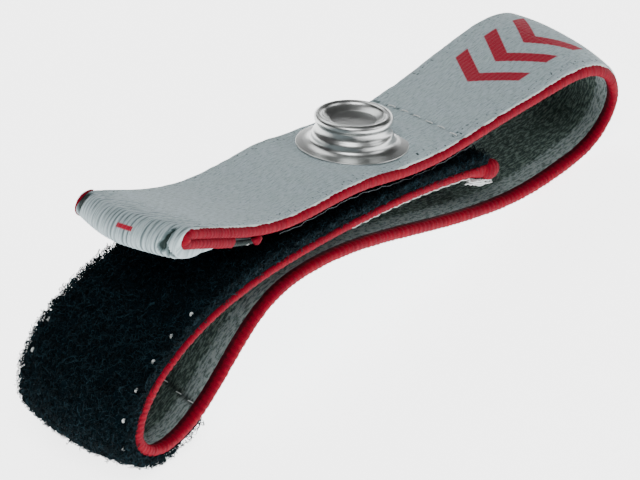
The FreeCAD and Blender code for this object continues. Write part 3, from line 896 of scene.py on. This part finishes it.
def build_tail_ball():
    """The loose end of the tail's front selvedge, rolled up."""
    turn = np.linspace(0, math.pi, 70)[:, None]
    around = circle(48)
    uneven = 0.6 * np.sin(around) + 0.4 * np.sin(2.3 * around)
    rib = np.abs(np.sin(BALL_RIBS * turn + uneven)) ** 0.7
    reach = (0.94 + 0.09 * rib) * np.sin(turn)
    shape = (-np.cos(turn) + 0 * around, reach * np.cos(around), reach * np.sin(around))
    points = at_tail_end(*(size * part for size, part in zip(BALL_REACH, shape)))
    uv = np.stack(np.broadcast_arrays(2 * turn, around), axis=2)
    faces = grid_faces(len(turn), around.size, True)
    # Its shade is lighter on the rib crests: painted shade between the ribs.
    ball = weld(mesh_object("tail_end_ball", points, [faces], SELVEDGE, uv, 0.4 + 0.5 * rib))
    follow(ball, "inner_tail")


build_band()
build_corner_thread()
build_tail_ball()


# --- loop tape ---

BACKING_LOW = HALF_THICK + 0.02
BACKING_HIGH = BACKING_LOW + TAPE_THICK
LOOP_SPANS = {
    "base": (distance_at(LOOP_START), SPANS["base"][1]),
    "lobe": SPANS["lobe"],
    "tail": (SPANS["tail"][0], distance_at(LOOP_END)),
}
# Fibres a square millimetre, the most in one piece, and the share that hang down the sides.
FIBRE_DENSITY = {"base": 4.0, "lobe": 20.0, "tail": 14.0}
FIBRES_PER_PIECE, SIDE_SHARE = 4200, 0.12
FIBRE_STEPS, FIBRE_STEP = 8, 0.27
# The rows of stitches that hold the tape: distance across, and where the first and last lie.
DOT_ROWS = (
    (-7.9, distance_at(25.05), distance_at(27.8)), (7.6, distance_at(26.0), distance_at(26.8)),
)
DOT_PITCH, DOT_CLEAR = 3.6, 0.5
DOT_LENGTH, DOT_RADIUS, DOT_LIFT = 0.32, 0.14, 0.2


def pile_height(distance):
    """The pile stands free round the lobe and is pressed flat where the hooks bear on it."""
    low, high = distance_at(23.5), distance_at(26.5)
    start, end = distance_at(PRESSED_FROM), distance_at(PRESSED_TO)
    free = PILE_PRESSED + (PILE_FREE - PILE_PRESSED) * smooth((distance - low) / (high - low))
    return free + (PILE_PRESSED - PILE_FREE) * smooth((distance - start) / (end - start))


# The dense bed of the pile takes this share of its height; single fibres stand out of it.
BED_SHARE = 0.9


def bed_bottom(across):
    """The bed hangs over the tape's edges, down to the selvedges."""
    return BACKING_HIGH - 0.45 * smooth((np.abs(across) - 7.4) / 0.8)


def pile_outline(distance):
    columns = 60
    across, out = slab_outline(PILE_EDGE, BACKING_HIGH, BACKING_HIGH + 1.0, columns, 0.9)
    outer = np.arange(2 * columns) < columns
    clumps = noise(distance, across, 0.7, 41) + 0.6 * noise(distance, across, 0.33, 42)
    rise = (out - BACKING_HIGH) * BED_SHARE * pile_height(distance)
    out = bed_bottom(across) + np.where(outer, rise + 0.12 * clumps, 0.0)
    return across, out, 1.0


def dots():
    """Distances along and across of the stitches that show in the pile."""
    return [(along, across) for across, first, last in DOT_ROWS
            for along in np.arange(first, last, DOT_PITCH)]


def pile_fibres(segment, span, density, seed):
    """Curly fibres that stand out of the pile, in a few pieces."""
    random = np.random.default_rng(seed)
    count = int(density * (span[1] - span[0]) * 2 * PILE_EDGE)
    place = np.stack((
        random.uniform(span[0], span[1], count),
        random.uniform(-PILE_EDGE, PILE_EDGE, count),
        np.zeros(count),
    ), axis=1)
    for along, across in dots():
        place = place[np.hypot(place[:, 0] - along, place[:, 1] - across) > DOT_CLEAR]
    count = len(place)
    rim = smooth((np.abs(place[:, 1]) - (PILE_EDGE - 1.0)) / 1.0)
    height = pile_height(place[:, 0])
    place[:, 2] = BACKING_HIGH + height * (0.75 - 0.4 * rim)
    top = BACKING_HIGH + height * random.uniform(0.9, 1.4, count) * (1 - 0.15 * rim)
    heading = random.normal(0, 0.8, (count, 3))
    heading[:, 1] += 1.3 * rim * np.sign(place[:, 1])
    heading[:, 2] = np.abs(heading[:, 2]) + 0.7
    on_side = random.uniform(0, 1, count) < SIDE_SHARE
    side = np.sign(place[on_side, 1])
    place[on_side, 1] = side * random.uniform(PILE_EDGE - 0.3, PILE_EDGE, len(side))
    place[on_side, 2] = BACKING_HIGH - 0.4 + random.uniform(0, 1.1, len(side)) * height[on_side]
    heading[on_side, 1] += 1.5 * side
    path = []
    for _ in range(FIBRE_STEPS):
        path.append(place.copy())
        heading += random.normal(0, 0.9, (count, 3))
        heading[:, 2] += np.where(place[:, 2] > top, -1.2, 0.1)
        heading /= np.linalg.norm(heading, axis=1)[:, None]
        place = place + heading * FIBRE_STEP
        place[:, 1] = np.clip(place[:, 1], -HALF_WIDTH - 0.1, HALF_WIDTH + 0.1)
    paths = np.stack(path, axis=1)
    radius = random.uniform(0.038, 0.062, count)
    tint = random.uniform(0, 1, count) ** 2
    parts = np.array_split(np.arange(count), math.ceil(count / FIBRES_PER_PIECE))
    for number, part in enumerate(parts, start=1):
        name = "pile_fibres_%s_%d" % (segment, number)
        piece = tubes(name, paths[part], radius[part], PILE_FIBRE, 3, (1.0, 1.0, 0.7), tint[part])
        follow(piece, segment)


def build_loop_tape():
    for seed, (segment, span) in enumerate(LOOP_SPANS.items(), start=51):
        name = "loop_backing_%s_tape" % segment
        backing = build_tape(name, span, TAPE_EDGE + 0.35, BACKING_LOW, BACKING_HIGH)
        ends = NODE_ENDS[segment]
        follow(backing, segment, ["loop_backing" + end for end in ends])
        pile = sweep("loop_pile_%s_bed" % segment, span, 0.3, pile_outline, PILE)
        follow(pile, segment, ["loop_pile" + end for end in ends])
        pile_fibres(segment, span, FIBRE_DENSITY[segment], seed)


build_loop_tape()


# --- hook tape ---

HOOK_BACKING_HIGH = -HALF_THICK - 0.02
HOOK_BACKING_LOW = HOOK_BACKING_HIGH - TAPE_THICK
HOOK_SPAN = (distance_at(HOOK_START), distance_at(HOOK_END))
HOOK_PITCH, HOOK_RADIUS = 0.62, 0.075
WASHER_CLEAR = 5.1
# How far a hook leans over and stands out of the tape, from its root to its tip.
HOOK_PROFILE = ((0.0, -0.05), (0.0, 0.2), (0.02, 0.4), (0.12, 0.55), (0.25, 0.52), (0.3, 0.38))


def hook_paths(random):
    """Each hook is a stem that curls over at its end, in band coordinates."""
    distance, across = np.meshgrid(
        np.arange(HOOK_SPAN[0] + 0.6, HOOK_SPAN[1] - 0.6, HOOK_PITCH),
        np.arange(-TAPE_EDGE + 0.9, TAPE_EDGE - 0.8, HOOK_PITCH),
        indexing="ij",
    )
    turned = np.where(np.arange(distance.size).reshape(distance.shape) % 2, 1.0, -1.0).ravel()
    distance = distance.ravel() + random.uniform(-0.08, 0.08, distance.size)
    across = across.ravel() + random.uniform(-0.08, 0.08, across.size)
    clear = np.hypot(distance - STUD_DISTANCE, across) > WASHER_CLEAR
    distance, across, turned = distance[clear], across[clear], turned[clear]
    lean, drop = np.array(HOOK_PROFILE).T
    along = distance[:, None] + turned[:, None] * lean
    return np.stack(
        np.broadcast_arrays(along, across[:, None], HOOK_BACKING_LOW - drop), axis=2)


def build_hook_tape():
    random = np.random.default_rng(61)
    backing = build_tape("hook_tape", HOOK_SPAN, TAPE_EDGE, HOOK_BACKING_LOW, HOOK_BACKING_HIGH)
    follow(backing, "top_flap", ("hook_backing",))
    paths = hook_paths(random)
    tint = random.uniform(0, 1, len(paths))
    hooks = tubes("hook_field_hooks", paths, HOOK_RADIUS, HOOK, 4, (1.0, 0.9, 0.6), tint)
    follow(hooks, "top_flap", ("hook_field",))
    # A thin grey tube along the hook tape's front lower edge: a painted highlight where the tape's
    # edge catches the light.
    along = np.linspace(HOOK_SPAN[0] + 0.3, HOOK_SPAN[1] - 0.3, 220)
    across = -TAPE_EDGE - 0.6 + 0.08 * np.sin(along * 2.9)
    out = HOOK_BACKING_LOW - 0.55 + 0.08 * np.sin(along * 1.7)
    edge = tubes("hook_tape_edge", one_path(along, across, out), 0.04, EDGE_HIGHLIGHT, 6)
    follow(edge, "top_flap")


build_hook_tape()


# --- sewing ---

STITCH_LENGTH, STITCH_PITCH = 1.45, 2.35


def stitch_paths(places, lengthwise, lift, length, side=1.0):
    """Short threads that rise out of the cloth and dive back into it."""
    share = np.linspace(-1, 1, 9)
    rise = lift + side * 0.2 * (np.sqrt(np.maximum(1 - share ** 4, 0)) - 1)
    reach = share * length / 2
    along, sideways = (reach, 0 * reach) if lengthwise else (0 * reach, reach)
    return np.concatenate([one_path(distance + along, across + sideways, rise)
                           for distance, across in places])


def cross_row(distance_at_across, random):
    """Places of the stitches of a row across the band, whose distance along varies."""
    return [(distance_at_across(y) + random.uniform(-0.15, 0.15), y + random.uniform(-0.2, 0.2))
            for y in np.arange(-7.0, 7.1, STITCH_PITCH)]


def build_sewing():
    random = np.random.default_rng(71)
    tab_face = knit_top(0.0) - 0.05
    hem = -FOLD_LENGTH - distance_at(TAB_HEM_END - 0.15)
    # each row's name, body, line, height, stitch length, side and thread radius
    rows = (
        ("hook_tape", "top_flap", hook_seam_at, tab_face, 1.2, 1.0, 0.09),
        ("loop_tape", "bottom_band", loop_seam_at, -HALF_THICK + 0.1, 0.9, -1.0, 0.07),
        ("tab_hem", "pull_tab", lambda across: hem, tab_face, STITCH_LENGTH, 1.0, 0.12),
    )
    for name, body, line, lift, length, side, radius in rows:
        row = stitch_paths(cross_row(line, random), False, lift, length, side)
        piece = tubes(name + "_seam", row, radius, THREAD, 8)
        follow(piece, body, (name + "_stitches",))
    build_tail_threads(random)
    build_dots(random)


def build_dots(random):
    """The rows of stitches that hold the loop tape show as dots sunk in the pile."""
    for segment, nodes in (("lobe", ()), ("tail", ("loop_edge_stitches",))):
        start, end = LOOP_SPANS[segment]
        places = [dot for dot in dots() if start <= dot[0] < end]
        paths = []
        for distance, across in places:
            lift = bed_bottom(across) + BED_SHARE * pile_height(distance) + DOT_LIFT
            place = [(distance, across + random.uniform(-0.1, 0.1))]
            paths.append(stitch_paths(place, True, lift, DOT_LENGTH))
        piece = tubes("loop_edge_seam_" + segment, np.concatenate(paths), DOT_RADIUS, THREAD, 8)
        follow(piece, segment, nodes)


# The thread that closes the tail's hem runs out along its front edge and ends in a loose bundle.
TAIL_THREADS, TAIL_THREAD_RUN, TAIL_THREAD_RADIUS = 36, 30.0, 0.08


def build_tail_threads(random):
    along = LENGTH + 2.0 - TAIL_THREAD_RUN * (1 - np.linspace(0, 1, 120))
    across = -HALF_WIDTH + 0.4 + 0.1 * np.sin(along * 3.1)
    out = -HALF_THICK - 0.26 + 0.04 * np.sin(along * 5.3)
    out = out - 0.7 * smooth((along - LENGTH + 5.0) / 3.5)
    run = one_path(np.minimum(along, LENGTH), across, out)
    piece = tubes("tail_edge_thread", run, TAIL_THREAD_RADIUS, THREAD, 8)
    follow(piece, "inner_tail", ("tail_end_stitches",))
    steps = np.linspace(0, 1, 24)
    places = []
    for _ in range(TAIL_THREADS):
        last, length = random.uniform(-1.8, 1.6), random.uniform(1.2, 3.0)
        phase = random.uniform(0, 6)
        along = last - length * steps
        across = random.uniform(-0.45, 0.3) + 0.16 * np.sin(along * 2.2 + phase)
        out = random.uniform(-1.95, -1.25) + 0.08 * np.sin(along * 3.1 + 2 * phase)
        places.append(at_tail_end(along, across, out - 0.15 * np.minimum(along, 0)))
    bundle = tubes_through("tail_end_bundle", np.array(places), TAIL_THREAD_RADIUS, THREAD, 6)
    follow(bundle, "inner_tail")


build_sewing()


# --- snap stud, rivet and washer ---

STUD_SINK = 0.08
# Radius and height of the stud's corners, up its outside and down into its bowl, with the radius
# of each corner's rounding.
STUD_PROFILE = (
    (0.0, 0.02, 0.0), (7.12, 0.02, 0.05), (7.12, 0.24, 0.12), (5.9, 0.34, 0.5), (5.2, 0.78, 0.35),
    (5.12, 1.7, 0.3), (4.72, 2.1, 0.4), (4.62, 3.0, 0.3), (4.95, 3.3, 0.2), (4.95, 3.9, 0.35),
    (4.5, 4.2, 0.3), (4.05, 4.1, 0.22), (3.8, 3.75, 0.4), (2.9, 3.3, 0.2), (0.0, 3.3, 0.0),
)
RIVET_PROFILE = (
    (0.0, 2.35, 0.0), (1.9, 2.35, 0.15), (1.9, -2.0, 0.1), (3.6, -2.05, 0.1), (3.5, -2.3, 0.12),
    (1.4, -2.37, 0.3), (0.9, -2.15, 0.15), (0.0, -2.15, 0.0),
)
WASHER_PROFILE = (
    (2.1, -1.75, 0.05), (4.6, -1.75, 0.08), (4.6, -1.97, 0.08), (2.1, -1.97, 0.05),
)


def rounded(profile):
    """The profile with each corner replaced by a short arc."""
    corners = [Vector(corner[:2]) for corner in profile]
    points = []
    for i, corner in enumerate(corners):
        radius = profile[i][2]
        if not radius:
            points.append(corner)
            continue
        starts = []
        for end in (corners[i - 1], corners[(i + 1) % len(corners)]):
            side = end - corner
            starts.append(corner + side.normalized() * min(radius, side.length * 0.45))
        for share in np.linspace(0, 1, 7):
            first = starts[0].lerp(corner, share)
            points.append(first.lerp(corner.lerp(starts[1], share), share))
    return np.array([tuple(p) for p in points])


def lathe(name, profile, closed):
    """The profile turned about the stud's axis, standing on the flap."""
    outline = rounded(profile)
    turns = 128
    angle = circle(turns)
    radius, height = outline[:, 0][:, None], outline[:, 1][:, None]
    centre, along, across, normal = axes_at(STUD_DISTANCE, 0.0, knit_top(STUD_DISTANCE))
    seat = Matrix.Rotation(-math.atan(SEAT_SLOPE), 3, across)
    parts = (height - STUD_SINK, radius * np.cos(angle), radius * np.sin(angle))
    points = in_axes(centre, (seat @ normal, seat @ along, across), parts)
    faces = grid_faces(len(outline), turns, True)
    if closed:
        first = np.arange(turns)
        last = first + (len(outline) - 1) * turns
        ring = (last, np.roll(last, -1), np.roll(first, -1), first)
        faces = np.concatenate((faces, np.stack(ring, axis=1)))
    return weld(mesh_object(name, points, [faces], METAL))


follow(lathe("stud", STUD_PROFILE, False), "top_flap", ("snap_stud",))
follow(lathe("rivet", RIVET_PROFILE, False), "top_flap", ("rivet_post",))
follow(lathe("washer", WASHER_PROFILE, True), "top_flap", ("backing_washer",))


# --- hem nodes that the swept band stands for ---

for end in ("tab", "tail"):
    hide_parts(end + "_hem_fold", end + "_hem_return")


# --- stage: floor, lights and camera ---

FLOOR_HALF, FLOOR_GLOW = 3.0, 3.6
CAMERA_DISTANCE = 0.8
# The world's light from the horizon up to the height where it is full.
WORLD_TOP, WORLD_LOW, WORLD_HIGH = 0.9, 0.85, 1.3


def make_floor():
    half = FLOOR_HALF
    mesh = bpy.data.meshes.new("floor")
    corners = [(-half, -half, 0), (half, -half, 0), (half, half, 0), (-half, half, 0)]
    mesh.from_pydata(corners, [], [(0, 1, 2, 3)])
    shader = Shader("floor", roughness=0.9, specular=0.1)
    tone = shader.noise(shader.place(), 3.0, 2.0)
    tone = shader.mix(tone, (0.9,) * 3, (0.92,) * 3, read=lambda *light: light)
    mesh.materials.append(shader.finish(tone))
    shader.surface["Emission Color"].default_value = (1.0, 1.0, 1.0, 1.0)
    shader.surface["Emission Strength"].default_value = FLOOR_GLOW
    floor = add_object("floor", mesh)


def make_light(name, place, size, power):
    light = bpy.data.lights.new(name, "AREA")
    light.shape = "DISK"
    light.size = size
    light.energy = power
    lamp = add_object(name, light)
    lamp.location = place
    lamp.rotation_euler = (-Vector(place)).to_track_quat("-Z", "Y").to_euler()


def make_world():
    """Even light that grows a little from the horizon upward."""
    world = bpy.data.worlds.new("studio")
    world.use_nodes = True
    tree = world.node_tree
    height = add_node(tree, "ShaderNodeSeparateXYZ", add_node(tree, "ShaderNodeTexCoord"), out=2)
    limits = (0.0, WORLD_TOP, WORLD_LOW, WORLD_HIGH)
    feed(tree.nodes["Background"].inputs[1], add_node(tree, "ShaderNodeMapRange", height, *limits))
    bpy.context.scene.world = world


def make_camera():
    """The view direction is given by its right and up axes; the target is a point of the strap."""
    right = Vector((0.64945, -0.76041, 0.0))
    up = Vector((0.46501, 0.39716, 0.79122))
    back = right.cross(up)
    target = Vector((-12.68, -8.9, 17.85)) * MM
    camera = bpy.data.cameras.new("camera")
    camera.sensor_width, camera.lens = 36, 367.2
    camera.clip_start, camera.clip_end = 0.05, 20
    turn = Matrix((right, up, back)).transposed().to_4x4()
    eye = add_object("camera", camera)
    eye.matrix_world = Matrix.Translation(target + back * CAMERA_DISTANCE) @ turn
    bpy.context.scene.camera = eye


make_floor()
make_light("key", (-0.5, -0.3, 1.2), size=0.9, power=14.0)
make_light("fill", (0.7, -0.9, 0.7), size=0.8, power=5.0)
make_light("rim", (0.4, 0.9, 0.8), size=0.8, power=5.0)
make_world()
make_camera()
